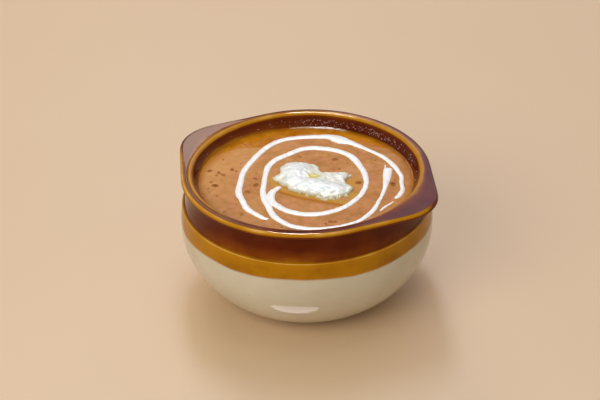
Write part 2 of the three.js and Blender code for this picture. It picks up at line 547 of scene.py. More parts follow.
def glaze_material(crock):
    """Stoneware, dipped twice and fired: the iron brown glaze breaks amber where it is thin."""
    material = new_material("Stoneware with dipped glazes")
    place = add_node(material, "ShaderNodeTexCoord").outputs["Object"]
    height = add_node(material, "ShaderNodeSeparateXYZ", {"Vector": place}).outputs["Z"]
    thin = add_node(material, "ShaderNodeAttribute", attribute_name="thin").outputs["Fac"]
    bare = add_node(material, "ShaderNodeAttribute", attribute_name="bare").outputs["Fac"]

    # The glaze lies a little thicker and thinner in soft clouds about 14 mm across
    clouded = add_node(
        material, "ShaderNodeTexNoise", {"Vector": place, "Scale": 1 / 0.014, "Detail": 2.0}
    ).outputs["Fac"]
    uneven = add_node(
        material,
        "ShaderNodeMapRange",
        {"Value": clouded, "From Min": 0.3, "From Max": 0.7, "To Min": -0.1, "To Max": 0.1},
    ).outputs["Result"]
    breaking = add_node(material, "ShaderNodeMath", {0: thin, 1: uneven}, operation="ADD")
    brown = add_node(
        material,
        "ShaderNodeValToRGB",
        {"Fac": breaking.outputs[0]},
        stops=[
            (0.0, crock.brown_glaze),
            (0.35, tone("7A3701")),
            (0.62, crock.amber_glaze),
            (0.86, tone("C28412")),
            (1.0, tone("E2B060")),
        ],
    ).outputs["Color"]

    # The cream glaze below, barely mottled
    mottle = add_node(
        material, "ShaderNodeTexNoise", {"Vector": place, "Scale": 1 / 0.02, "Detail": 4.0}
    ).outputs["Fac"]
    cream = add_node(
        material,
        "ShaderNodeValToRGB",
        {"Fac": mottle},
        stops=[(0.3, tone("CDC4AC")), (0.7, crock.cream_glaze)],
    ).outputs["Color"]

    # The dip line wanders by about a millimetre and is soft over about one
    wander = add_node(
        material, "ShaderNodeTexNoise", {"Vector": place, "Scale": 1 / 0.03, "Detail": 2.0}
    ).outputs["Fac"]
    shift = add_node(
        material,
        "ShaderNodeMapRange",
        {
            "Value": wander,
            "From Min": 0.3,
            "From Max": 0.7,
            "To Min": -0.6 * MM,
            "To Max": 0.6 * MM,
        },
    ).outputs["Result"]
    level = add_node(material, "ShaderNodeMath", {0: height, 1: shift}, operation="ADD")
    dipped = add_node(
        material,
        "ShaderNodeMapRange",
        {
            "Value": level.outputs[0],
            "From Min": crock.dip_line - 0.7 * MM,
            "From Max": crock.dip_line + 0.7 * MM,
        },
        interpolation_type="SMOOTHSTEP",
    ).outputs["Result"]
    glazed = add_node(
        material, "ShaderNodeMix", {0: dipped, 6: cream, 7: brown}, data_type="RGBA"
    ).outputs[2]
    colour = add_node(
        material, "ShaderNodeMix", {0: bare, 6: glazed, 7: crock.clay_colour}, data_type="RGBA"
    ).outputs[2]
    roughness = add_node(
        material, "ShaderNodeMapRange", {"Value": bare, "To Min": 0.05, "To Max": 0.85}
    ).outputs["Result"]

    # Fired glaze is never flat: low waves about 8 mm long, and a fine orange peel of 1.5 mm
    waves = add_node(
        material, "ShaderNodeTexNoise", {"Vector": place, "Scale": 1 / 0.008, "Detail": 1.0}
    ).outputs["Fac"]
    low = add_node(
        material, "ShaderNodeBump", {"Height": waves, "Strength": 1.0, "Distance": 0.03 * MM}
    ).outputs["Normal"]
    peel = add_node(
        material, "ShaderNodeTexNoise", {"Vector": place, "Scale": 1 / 0.0015, "Detail": 2.0}
    ).outputs["Fac"]
    normal = add_node(
        material,
        "ShaderNodeBump",
        {"Height": peel, "Strength": 1.0, "Distance": 0.003 * MM, "Normal": low},
    ).outputs["Normal"]
    shader = add_node(
        material,
        "ShaderNodeBsdfPrincipled",
        {
            "Base Color": colour,
            "Roughness": roughness,
            "Normal": normal,
            "IOR": 1.5,
            "Specular IOR Level": 0.24,
            "Specular Tint": tone("FFE4C6"),
        },
    )
    add_node(material, "ShaderNodeOutputMaterial", {"Surface": shader.outputs["BSDF"]})
    return material


# The dal

# Width of the oil by the wall, in millimetres, against the compass angle in degrees
OIL_COLLAR = (
    (-180, 1.8), (-165, 0.8), (-90, 0.4), (0, 0.8), (50, 1.2), (60, 2.0), (70, 3.4), (77, 8.0),
    (85, 9.2), (97, 6.6), (107, 6.6), (118, 8.0), (128, 9.2), (140, 11.5), (150, 12.5),
    (157, 12.5), (163, 9.5), (170, 5.0), (180, 1.8),
)

# Front of the melted butter, east and north, and pools of it: east, north and spread, in mm
MELT_FRONT = (
    (-12, -14), (-6.7, -15.7), (-3.9, -16.6), (1.5, -16.6), (7.2, -16.5), (12.1, -15.5),
    (16.4, -14.7), (21, -13.6), (26.8, -12.4), (32, -11),
)
MELT_POOLS = ((21, 7, 4.5), (26.5, -2, 3.5), (-13, -9, 3))

# Sides of the dal, each as a compass angle and its spread in degrees
WIDE_HALO = (172, 22)  # the oil tints it furthest in
WALL_SHADE_SIDE = (95, 62)  # the painted shade by the wall is darkest
CLINGING_SIDE = (114, 14)  # it is drawn up the wall most

SKIRT = 0.5 * MM  # how far the dal reaches into the clay, so that no gap shows
CREEP = 0.5 * MM  # how far it is drawn up the wall, at a share of 1


def oil_at(place):
    """How much clear orange oil floats at a place: a collar by the wall, wide behind."""
    width = along(OIL_COLLAR, compass(place)) * MM
    return smoothstep(width + 1.8 * MM, width - 1.8 * MM, from_wall(place))


def shore_offset(place):
    """How far behind the front of the melted butter a place lies, or before it if negative."""
    front = along(MELT_FRONT, place.x / MM)
    if front is None:
        return -10 * MM
    return (place.y / MM - front) * MM


def melt_at(place):
    """How much melted butter lies on the dal at a place: a band in front, and three pools."""
    offset = shore_offset(place)
    most = smoothstep(0, 1.0 * MM, offset) * smoothstep(6 * MM, 3 * MM, offset)
    for east, north, spread in MELT_POOLS:
        away = math.hypot(place.x / MM - east, place.y / MM - north)
        most = max(most, math.exp(-((away / spread) ** 4)))
    return most


def shore_at(place):
    """A thin dark orange line along the front of the melted butter."""
    front = math.exp(-((shore_offset(place) / (1.2 * MM)) ** 2))
    ends = smoothstep(-10 * MM, -5 * MM, place.x) * smoothstep(31 * MM, 27 * MM, place.x)
    return front * ends


def halo_at(place):
    """How much oil tints the dal at a place: most at the wall, and furthest in on one side."""
    width = (2.6 + 6.0 * around(compass(place), *WIDE_HALO)) * MM
    return min(1.0, max(0.0, 1 - from_wall(place) / width))


def wall_shade_at(place):
    """Painted shade: how dark the dal is painted at a place, close to the wall and mostly behind.
    """
    share = min(1.0, max(0.0, 1 - from_wall(place) / (3.5 * MM)))
    return share**1.5 * (0.14 + 0.75 * around(compass(place), *WALL_SHADE_SIDE))


# What is painted on top of the dal, for its material to read; the deep share is painted shade by
# the wall
PAINTED = {"oil": oil_at, "melt": melt_at, "shore": shore_at, "halo": halo_at, "deep": wall_shade_at}


def paint_top(piece, name, share):
    """Stores a function of each place on top of the dal as a float attribute, 0 below."""
    attribute = piece.data.attributes.new(name, "FLOAT", "POINT")
    for vertex, item in zip(piece.data.vertices, attribute.data):
        if vertex.co.z >= SURFACE - 1 * MM:
            item.value = share(vertex.co)


def on_top(place):
    """1 on top of the dal and fading to 0 a millimetre down its side."""
    return smoothstep(SURFACE - 1 * MM, SURFACE - 0.1 * MM, place.z)


def clinging_at(place):
    """How far the dal is drawn up at a place, from 0 to 1 at the wall, most of it behind."""
    if place.z < SURFACE - 0.5 * MM:
        return 0.0
    reach = 2.4 * MM
    most = 0.35 + 0.55 * around(compass(place), *CLINGING_SIDE)
    return max(0.0, (reach - from_wall(place)) / reach) ** 2 * most


def model_dal():
    """Pours the dal: a finely gridded surface, a skirt just inside the clay, a closed base."""
    columns = 256
    reach = WALL_RADIUS + SKIRT
    bpy.ops.object.select_all(action="DESELECT")
    bpy.ops.mesh.primitive_circle_add(
        vertices=columns, radius=reach, fill_type="NOTHING", location=(0, 0, SURFACE)
    )
    piece = bpy.context.object
    piece.name = "dal_filling"
    bpy.ops.object.transform_apply(location=True, rotation=True, scale=True)
    edit_mesh(piece)
    bpy.ops.mesh.select_all(action="SELECT")
    bpy.ops.mesh.fill_grid(span=columns // 4)
    bpy.ops.mesh.select_all(action="SELECT")
    bpy.ops.mesh.subdivide(number_cuts=2)
    bpy.ops.mesh.select_all(action="DESELECT")
    bpy.ops.mesh.select_non_manifold()
    before = Station(reach, SURFACE)
    for station in inside_stations(-SKIRT, SURFACE - 1 * MM):
        extrude_ring(before, station)
        before = station
    close_up(piece)
    top = weigh(piece, "surface", on_top)
    lift(piece, "meniscus", clinging_at, CREEP)
    lumps = ((11 * MM, 0.35 * MM), (2.6 * MM, 0.16 * MM))
    roughen(piece, "dal lumps", lumps, direction="Z", vertex_group=top)
    for name, share in PAINTED.items():
        paint_top(piece, name, share)
    return piece


def dal_material(filling):
    """Black lentils cooked down with cream and butter: opaque and grainy, glossy where oily."""
    material = new_material("Creamy lentil gravy, simmered")
    place = add_node(material, "ShaderNodeTexCoord").outputs["Object"]
    painted = {}
    for name in PAINTED:
        reader = add_node(material, "ShaderNodeAttribute", attribute_name=name)
        painted[name] = reader.outputs["Fac"]

    # Cream and gravy mixed unevenly, in clouds about 9 mm across
    cloudy = add_node(
        material,
        "ShaderNodeTexNoise",
        {"Vector": place, "Scale": 1 / 0.009, "Detail": 5.0, "Distortion": 0.6},
    ).outputs["Fac"]
    gravy = add_node(
        material,
        "ShaderNodeValToRGB",
        {"Fac": cloudy},
        stops=[(0.34, tone("B87A42")), (0.5, filling.gravy_colour), (0.66, tone("DAA064"))],
    ).outputs["Color"]

    # Olive and rosy mottling about 3 mm across
    mottle = add_node(
        material, "ShaderNodeTexNoise", {"Vector": place, "Scale": 1 / 0.003, "Detail": 4.0}
    ).outputs["Fac"]
    tint = add_node(
        material,
        "ShaderNodeValToRGB",
        {"Fac": mottle},
        stops=[(0.36, tone("B4803A")), (0.5, tone("C88A50")), (0.64, tone("D68F6A"))],
    ).outputs["Color"]

    # Painted light: the dal is painted paler towards the west, lifting the shade that the wall
    # casts there
    east = add_node(material, "ShaderNodeSeparateXYZ", {"Vector": place}).outputs["X"]
    lit_west_side = add_node(
        material,
        "ShaderNodeMapRange",
        {"Value": east, "From Min": -18 * MM, "From Max": -50 * MM, "To Max": 0.55},
    ).outputs["Result"]

    # Broken lentil skins, about a millimetre across and darker than the gravy
    skins = add_node(
        material, "ShaderNodeTexNoise", {"Vector": place, "Scale": 1 / 0.0017, "Detail": 2.0}
    ).outputs["Fac"]
    flecks = add_node(
        material,
        "ShaderNodeMapRange",
        {"Value": skins, "From Min": 0.63, "From Max": 0.76, "To Max": 0.3},
        interpolation_type="SMOOTHSTEP",
    ).outputs["Result"]

    # Melted butter lets a little of the gravy through
    golden = add_node(
        material, "ShaderNodeMath", {0: painted["melt"], 1: 0.88}, operation="MULTIPLY"
    ).outputs[0]

    # Oil gathers in ragged patches about 5 mm across
    ragged = add_node(
        material, "ShaderNodeTexNoise", {"Vector": place, "Scale": 1 / 0.005, "Detail": 4.0}
    ).outputs["Fac"]
    spread = add_node(
        material,
        "ShaderNodeMapRange",
        {"Value": ragged, "From Min": 0.3, "From Max": 0.7, "To Min": -0.22, "To Max": 0.22},
    ).outputs["Result"]
    patchy = add_node(
        material, "ShaderNodeMath", {0: painted["oil"], 1: spread}, operation="ADD"
    ).outputs[0]
    oily = add_node(
        material,
        "ShaderNodeMapRange",
        {"Value": patchy, "From Min": 0.15, "From Max": 0.75},
        interpolation_type="SMOOTHSTEP",
    ).outputs["Result"]
    film = add_node(
        material, "ShaderNodeMath", {0: oily, 1: 0.97}, operation="MULTIPLY"
    ).outputs[0]
    amber = add_node(
        material,
        "ShaderNodeValToRGB",
        {"Fac": cloudy},
        stops=[(0.35, tone("B86C00")), (0.65, filling.oil_colour)],
    ).outputs["Color"]

    # One over the other from the gravy up, each with its share
    colour = gravy
    for share, coat in (
        (0.5, tint),
        # painted light on the west side
        (lit_west_side, tone("E6AC66")),
        (flecks, tone("84522A")),
        (painted["halo"], tone("C67E1E")),  # oil tints the dal by the wall
        (golden, tone("CE9A38")),
        (painted["shore"], tone("B66C00")),  # the melted butter's dark front
        (film, amber),
        (painted["deep"], tone("5E3606")),  # painted shade close to the wall
    ):
        colour = add_node(
            material, "ShaderNodeMix", {0: share, 6: colour, 7: coat}, data_type="RGBA"
        ).outputs[2]
    roughness = add_node(
        material, "ShaderNodeMapRange", {"Value": film, "To Min": 0.42, "To Max": 0.12}
    ).outputs["Result"]
    gloss = add_node(
        material, "ShaderNodeMath", {0: film, 1: 0.16}, operation="MULTIPLY"
    ).outputs[0]

    # Grain of the mashed lentils, about 1.2 mm, smoothed over by the oil
    grain = add_node(
        material, "ShaderNodeTexNoise", {"Vector": place, "Scale": 1 / 0.0012, "Detail": 3.0}
    ).outputs["Fac"]
    depth = add_node(
        material, "ShaderNodeMapRange", {"Value": film, "To Min": 1.0, "To Max": 0.12}
    ).outputs["Result"]
    normal = add_node(
        material, "ShaderNodeBump", {"Height": grain, "Strength": depth, "Distance": 0.12 * MM}
    ).outputs["Normal"]
    shader = add_node(
        material,
        "ShaderNodeBsdfPrincipled",
        {
            "Base Color": colour,
            "Roughness": roughness,
            "Normal": normal,
            "IOR": 1.42,
            "Specular IOR Level": 0.04,
            "Coat Weight": gloss,
            "Coat Roughness": 0.05,
            "Coat IOR": 1.33,
            "Subsurface Weight": 0.15,
            "Subsurface Radius": (1.0, 0.5, 0.25),
            "Subsurface Scale": 1.5 * MM,
        },
    )
    add_node(material, "ShaderNodeOutputMaterial", {"Surface": shader.outputs["BSDF"]})
    return material


# The cream

# Each stroke is given point by point: east and north of the bowl's centre, and width, in
# millimetres
OUTER_STROKE = (
    (4.2, -39.3, 1.8), (3, -40.3, 3.0), (0, -40, 3.4), (-5.5, -38.5, 3.8), (-9, -37.2, 4.2),
    (-12, -35, 3.8), (-16, -31.5, 3.8), (-19.5, -28.5, 4.1), (-21.5, -26, 4.1),
    (-24, -21.5, 3.9), (-26.5, -16.5, 3.6), (-28.7, -12, 3.4), (-30.2, -8, 3.8),
    (-31.8, -0.5, 3.8), (-33, 10, 3.9), (-33, 18, 4.2), (-31, 25, 4.2), (-27.5, 30, 4.1),
    (-23, 34, 4.2), (-16.5, 38.3, 4.5), (-12, 40.8, 5.6), (-8, 40.9, 7.6), (-4, 40.7, 8.2),
    (0, 41, 4.8), (5.5, 40.3, 4.0), (11, 39.3, 3.1), (17.5, 38, 3.1), (23.5, 36, 3.3),
    (29.5, 32.5, 3.4), (35, 28.2, 3.0), (38.5, 24.8, 2.8), (41, 20.5, 2.7), (43, 17.5, 2.5),
    (45, 14.5, 2.9), (46, 10.5, 3.2), (46.2, 7.5, 2.9), (45.9, 5.6, 1.8),
)
INNER_STROKE = (
    (-6.6, -12.2, 2.0), (-7.0, -13.7, 3.6), (-7.3, -16.5, 3.9), (-6.9, -19.8, 4.4),
    (-5.3, -23, 4.8), (-2.5, -26, 4.5), (1.5, -27.8, 4.4), (5, -28.8, 4.4), (9.5, -29.2, 4.4),
    (14.5, -28.5, 4.4), (19, -26.5, 4.5), (23, -23.5, 4.5), (26.5, -19, 4.2), (29, -14, 3.8),
    (30.2, -7.5, 3.5), (30.4, -1, 3.4), (29.6, 4, 3.3), (27.5, 10, 3.1), (24.5, 15, 3.4),
    (20, 20.3, 3.8), (16, 23.7, 3.9), (11.5, 27.2, 4.4), (7, 29.7, 4.4), (2.5, 30.7, 4.3),
    (-2.5, 30.6, 4.4), (-8.5, 29.2, 4.7), (-14, 26.5, 4.7), (-17.5, 22.7, 4.4),
    (-19.7, 17, 4.3), (-21.7, 11.5, 4.2), (-22.8, 6.5, 4.1), (-22, 0.5, 4.0),
    (-20, -4.5, 3.4), (-17.2, -10, 3.2), (-14.4, -15, 3.3), (-12, -19.5, 3.4), (-9, -23.5, 3.9),
    (-6, -26.7, 4.0), (-2, -30.2, 3.9), (1.5, -33.5, 3.9), (6, -36.7, 4.2), (11, -38.6, 3.9),
    (16, -39.5, 3.8), (20.5, -39, 3.9), (25, -37.5, 3.4), (29.5, -34.7, 3.0), (33.5, -31, 2.6),
    (37.3, -27, 2.5), (40, -23, 2.6), (41.8, -18.5, 3.0), (42.4, -14, 3.2), (42.3, -8, 3.3),
    (41.4, -3.5, 2.5), (40.2, 1, 2.5), (39.2, 5, 2.4), (37.8, 9.3, 2.6), (36, 14, 3.1),
    (34, 18.3, 4.3), (32, 22.5, 5.1), (30.3, 26, 5.4), (29.0, 28.5, 4.8),
)
STROKE_TAIL = ((28.2, 26.5, 1.6), (27.2, 29, 1.3), (26, 31, 0.7))
THIN_STREAK = (
    (46.7, 2.8, 1.0), (46.4, 1.2, 1.5), (45.7, -2.6, 1.9), (45.4, -6.4, 1.6), (45.3, -8.6, 0.9),
)
STROKES = (OUTER_STROKE, INNER_STROKE, STROKE_TAIL, THIN_STREAK)

STROKE_SHARE = 0.88  # a stroke is drawn at this share of its width, and settles to the rest


def draw_stroke(points):
    """Draws one stroke of cream as a round tube along a smooth curve."""
    bpy.ops.object.select_all(action="DESELECT")
    bpy.ops.curve.primitive_bezier_curve_add(location=(0, 0, 0))
    stroke = bpy.context.object
    for knot, (_, _, width) in zip(lay_knots(stroke, points, SURFACE), points):
        knot.radius = width * STROKE_SHARE / 2
    stroke.data.dimensions = "3D"
    stroke.data.resolution_u = 10
    stroke.data.bevel_depth = MM  # a knot's radius of 1 is a millimetre
    stroke.data.bevel_resolution = 3
    stroke.data.use_fill_caps = True
    bpy.ops.object.convert(target="MESH")
    return bpy.context.object


def model_cream(garnish):
    """Drizzles the strokes, flattens them into the dal and melts them into one body."""
    piece = join_pieces([draw_stroke(points) for points in STROKES], "cream_swirl")
    edit_mesh(piece)
    bpy.ops.mesh.select_all(action="SELECT")
    centre = (0, 0, SURFACE)
    bpy.ops.transform.resize(value=(1, 1, garnish.cream_flatness), center_override=centre)
    close_up(piece)
    apply_modifier(piece, "REMESH", mode="VOXEL", voxel_size=0.26 * MM)
    apply_modifier(piece, "SMOOTH", factor=0.5, iterations=4)
    roughen(piece, "cream lumps", ((4 * MM, 0.3 * MM), (1.8 * MM, 0.25 * MM)))
    return piece


def cream_material(garnish):
    """Fresh cream, poured: a bright, slightly translucent white with a wet skin."""
    material = new_material("Fresh cream, drizzled")
    place = add_node(material, "ShaderNodeTexCoord").outputs["Object"]

    # Fat rises in soft clouds about 6 mm across
    fat = add_node(
        material, "ShaderNodeTexNoise", {"Vector": place, "Scale": 1 / 0.006, "Detail": 3.0}
    ).outputs["Fac"]
    colour = add_node(
        material,
        "ShaderNodeValToRGB",
        {"Fac": fat},
        stops=[(0.3, tone("FAF8F3")), (0.6, garnish.cream_colour)],
    ).outputs["Color"]
    roughness = add_node(
        material, "ShaderNodeMapRange", {"Value": fat, "To Min": 0.28, "To Max": 0.4}
    ).outputs["Result"]

    # Ripples of the pour, about 1.5 mm apart
    ripple = add_node(
        material, "ShaderNodeTexNoise", {"Vector": place, "Scale": 1 / 0.0015, "Detail": 2.0}
    ).outputs["Fac"]
    normal = add_node(
        material, "ShaderNodeBump", {"Height": ripple, "Strength": 0.6, "Distance": 0.05 * MM}
    ).outputs["Normal"]
    shader = add_node(
        material,
        "ShaderNodeBsdfPrincipled",
        {
            "Base Color": colour,
            "Roughness": roughness,
            "Normal": normal,
            "IOR": 1.45,
            "Subsurface Weight": 0.15,
            "Subsurface Radius": (1.0, 0.8, 0.6),
            "Subsurface Scale": 0.6 * MM,
        },
    )
    add_node(material, "ShaderNodeOutputMaterial", {"Surface": shader.outputs["BSDF"]})
    return material


# The butter

# The lump's outline on the dal, east and north in millimetres
BUTTER_OUTLINE = (
    (-16.1, 2.2), (-15.3, 6.7), (-12.8, 10.5), (-8, 11.4), (-3.6, 12.6), (-0.1, 12), (2.3, 8.9),
    (6.6, 9.7), (10.4, 11.9), (14, 13.7), (16, 13.3), (17, 11), (17.2, 8.8), (17.7, 6.8),
    (19.4, 5.4), (21, 4.8), (23.9, 3.4), (25, 1.1), (25.2, -1.9), (24.2, -4.2), (22.8, -6.4),
    (21.4, -8.2), (19.4, -9.4), (18.2, -11.2), (14.6, -10.8), (11, -12.2), (7.7, -12.2),
    (2.3, -13), (-1.8, -12.8), (-4, -10.8), (-6, -11), (-9, -9.8), (-12.8, -9.2),
    (-14.2, -6.4), (-12.8, -3.6), (-14, -1),
)

# Its mounds: east, north, spread and rise, in millimetres
MOUNDS = (
    (-7, 3, 6, 1.5), (-3, -5, 5.5, 1.3), (4, 2, 4, 0.5), (6, -6, 5, 1.3), (13, -4, 5.5, 1.4),
    (19, -2, 4, 0.9), (11, 5, 4, 0.4), (13.5, 10, 3, 0.6),
)
MOUND_RISE = 3  # millimetres that a full share in the vertex group stands for
DIMPLE = Vector((3.4 * MM, 2.0 * MM))  # middle of the hollow in the lump

# Crumbs by the lump: east, north and half length in millimetres
CRUMBS = (
    (-13.6, -7.0, 1.4), (4.8, -13.0, 1.1), (8.8, -12.6, 1.6), (14.4, -11.8, 1.7),
    (17.4, -11.6, 2.2), (20.2, -9.6, 1.9), (22.6, -7.0, 1.7), (24.6, -3.8, 1.5),
    (16.8, 12.6, 1.4), (-13.8, 5.8, 1.4),
)


def mound_at(place):
    """How far the lump's upper side is heaped up at a place, as a share of MOUND_RISE."""
    if place.z < SURFACE + 0.5 * MM:
        return 0.0
    heap = 0.0
    for east, north, spread, rise in MOUNDS:
        away = math.hypot(place.x / MM - east, place.y / MM - north)
        heap += rise * math.exp(-((away / spread) ** 2))
    return heap / MOUND_RISE


def dimple_at(place):
    """How deep the small hollow is at a place, from 0 to 1 in its middle."""
    if place.z <= SURFACE:
        return 0.0
    return math.exp(-(((place.xy - DIMPLE).length / (2.2 * MM)) ** 2))


def model_butter(garnish):
    """Cuts the lump's outline as a rounded slab, heaps its mounds and roughens its folds."""
    bpy.ops.object.select_all(action="DESELECT")
    bpy.ops.curve.primitive_bezier_circle_add(location=(0, 0, 0))
    outline = bpy.context.object
    outline.data.dimensions = "2D"
    lay_knots(outline, BUTTER_OUTLINE, 0)
    outline.data.fill_mode = "BOTH"
    outline.data.bevel_depth = garnish.butter_edge
    outline.data.bevel_resolution = 4
    outline.data.offset = -garnish.butter_edge
    outline.data.extrude = 0.1 * MM
    bpy.ops.object.convert(target="MESH")
    piece = bpy.context.object
    piece.name = "butter_lump"
    piece.location.z = SURFACE
    bpy.ops.object.transform_apply(location=True, rotation=True, scale=True)
    apply_modifier(piece, "REMESH", mode="VOXEL", voxel_size=0.4 * MM)
    lift(piece, "mounds", mound_at, MOUND_RISE * MM)
    folds = ((5 * MM, 1.0 * MM), (2.2 * MM, 0.6 * MM), (1.1 * MM, 0.4 * MM))
    roughen(piece, "butter folds", folds)
    lift(piece, "dimple", dimple_at, -garnish.dimple_depth)
    apply_modifier(piece, "REMESH", mode="VOXEL", voxel_size=0.35 * MM)
    apply_modifier(piece, "SMOOTH", factor=0.5, iterations=3)
    return piece


def model_crumbs():
    """Strews small crumbs of butter along the lump's ragged edge."""
    chance = random.Random(7)
    crumbs = []
    for east, north, size in CRUMBS:
        turn = chance.uniform(0, 180)
        breadth = size * chance.uniform(0.5, 0.8)
        bpy.ops.object.select_all(action="DESELECT")
        bpy.ops.mesh.primitive_ico_sphere_add(
            subdivisions=4,
            radius=1.0,
            location=(east * MM, north * MM, SURFACE - 0.4 * MM),
            rotation=(0, 0, math.radians(turn)),
            scale=(size * MM, breadth * MM, size * 0.8 * MM),
        )
        bpy.ops.object.transform_apply(location=True, rotation=True, scale=True)
        crumbs.append(bpy.context.object)
    piece = join_pieces(crumbs, "butter_crumbs")
    roughen(piece, "crumb lumps", ((1.1 * MM, 1.1 * MM),))
    return piece


def butter_material(garnish):
    """White butter, churned and scooped: soft, waxy, faintly translucent, golden where melted."""
    material = new_material("White butter, scooped")
    place = add_node(material, "ShaderNodeTexCoord").outputs["Object"]

    # Churned in folds about 4 mm across
    churn = add_node(
        material,
        "ShaderNodeTexNoise",
        {"Vector": place, "Scale": 1 / 0.004, "Detail": 4.0, "Distortion": 0.8},
    ).outputs["Fac"]
    white = add_node(
        material,
        "ShaderNodeValToRGB",
        {"Fac": churn},
        stops=[(0.34, tone("DAE4E6")), (0.47, tone("ECF2F3")), (0.6, garnish.butter_colour)],
    ).outputs["Color"]

    # It melts thin along its edge and lets the gravy through; its low sides are also painted
    # darker, as shade
    height = add_node(material, "ShaderNodeSeparateXYZ", {"Vector": place}).outputs["Z"]
    edge = add_node(
        material,
        "ShaderNodeMapRange",
        {"Value": height, "From Min": SURFACE + 2.2 * MM, "From Max": SURFACE + 0.2 * MM},
    ).outputs["Result"]
    edge_and_shade = add_node(
        material, "ShaderNodeMix", {0: edge, 6: white, 7: tone("D6CCA0")}, data_type="RGBA"
    ).outputs[2]

    # Melted butter stands in the dimple
    to_dimple = add_node(
        material,
        "ShaderNodeVectorMath",
        {0: place, 1: (*DIMPLE, SURFACE + 2.0 * MM)},
        operation="DISTANCE",
    ).outputs["Value"]
    ghee = add_node(
        material,
        "ShaderNodeMapRange",
        {"Value": to_dimple, "From Min": 4.4 * MM, "From Max": 1.8 * MM},
        interpolation_type="SMOOTHSTEP",
    ).outputs["Result"]
    colour = add_node(
        material, "ShaderNodeMix", {0: ghee, 6: edge_and_shade, 7: tone("E2D270")}, data_type="RGBA"
    ).outputs[2]
    roughness = add_node(
        material, "ShaderNodeMapRange", {"Value": ghee, "To Min": 0.42, "To Max": 0.3}
    ).outputs["Result"]

    # Grain about a millimetre across
    grain = add_node(
        material, "ShaderNodeTexNoise", {"Vector": place, "Scale": 1 / 0.001, "Detail": 3.0}
    ).outputs["Fac"]
    normal = add_node(
        material, "ShaderNodeBump", {"Height": grain, "Strength": 0.7, "Distance": 0.12 * MM}
    ).outputs["Normal"]
    shader = add_node(
        material,
        "ShaderNodeBsdfPrincipled",
        {
            "Base Color": colour,
            "Roughness": roughness,
            "Normal": normal,
            "IOR": 1.46,
            "Subsurface Weight": 0.25,
            "Subsurface Radius": (1.0, 0.85, 0.6),
            "Subsurface Scale": 1.0 * MM,
        },
    )
    add_node(material, "ShaderNodeOutputMaterial", {"Surface": shader.outputs["BSDF"]})
    return material


# Lentils and droplets

LENTIL_HALVES = (2.2 * MM, 1.7 * MM, 0.9 * MM)  # half length, breadth and thickness

# Lentils that break the surface: east and north in millimetres, and size
LENTILS = (
    (-44.7, -16.9, 0.8), (-39.6, -16.3, 0.65), (-36.6, -16.7, 0.7), (-39.4, -18.8, 0.45),
    (-35.4, -10.7, 0.85), (-33.4, -10.4, 0.5), (-37.9, -25.1, 0.55), (-34.1, -27.2, 1.0),
    (-29.8, -25.8, 0.35), (-35.4, -31.2, 0.4), (-33.4, -33.3, 0.35), (-28.2, -34.5, 0.45),
    (-44.8, -4.7, 0.45), (-35.4, -3.7, 0.35), (-23.7, -8.1, 0.35), (-21.1, -12.1, 0.75),
    (-17.6, -16.6, 1.1), (-17.7, -24.2, 0.8), (-14.1, 16.5, 0.6), (2.2, 23.2, 0.9),
    (8.9, 16.3, 0.55), (9.3, 23.2, 0.35), (19.7, 32.5, 0.35), (37.2, 20.5, 0.45),
    (38.2, 16.7, 1.0), (23.3, 9.2, 1.0), (36.7, 4.1, 0.4), (35.8, -10.1, 0.35),
    (-8.8, -42.8, 0.6), (-16.9, -44.7, 0.45), (9.3, -33.6, 0.35), (30.5, -27.2, 0.7),
    (32.3, -26.4, 0.6), (29.4, -30.1, 0.55), (13.3, -42.4, 0.4),
)

SPLASHED_WALL = (88, 30)  # compass angle and spread of most droplets, in degrees
WALL_LEAN = 0.65  # how far the wall leans outwards for its height above the dal


def model_lentils():
    """Models one lentil and sinks copies of it in the surface."""
    chance = random.Random(3)
    bpy.ops.object.select_all(action="DESELECT")
    bpy.ops.mesh.primitive_uv_sphere_add(segments=16, ring_count=10, radius=1.0)
    first = bpy.context.object
    bpy.ops.transform.resize(value=LENTIL_HALVES)
    bpy.ops.object.transform_apply(location=True, rotation=True, scale=True)
    copies = []
    for east, north, size in LENTILS:
        tilt = (chance.uniform(-9, 9), chance.uniform(-9, 9), chance.uniform(0, 180))
        turn = [math.radians(angle) for angle in tilt]
        sunk = SURFACE - chance.uniform(0.25, 0.45) * size * MM
        place = (east * MM, north * MM, sunk)
        scale = (size, size * chance.uniform(0.75, 1.0), size)
        copies.append(set_copy(first, place, turn, scale))
    bpy.data.objects.remove(first)
    piece = join_pieces(copies, "lentils")
    roughen(piece, "lentil lumps", ((1.6 * MM, 0.4 * MM),))
    return piece


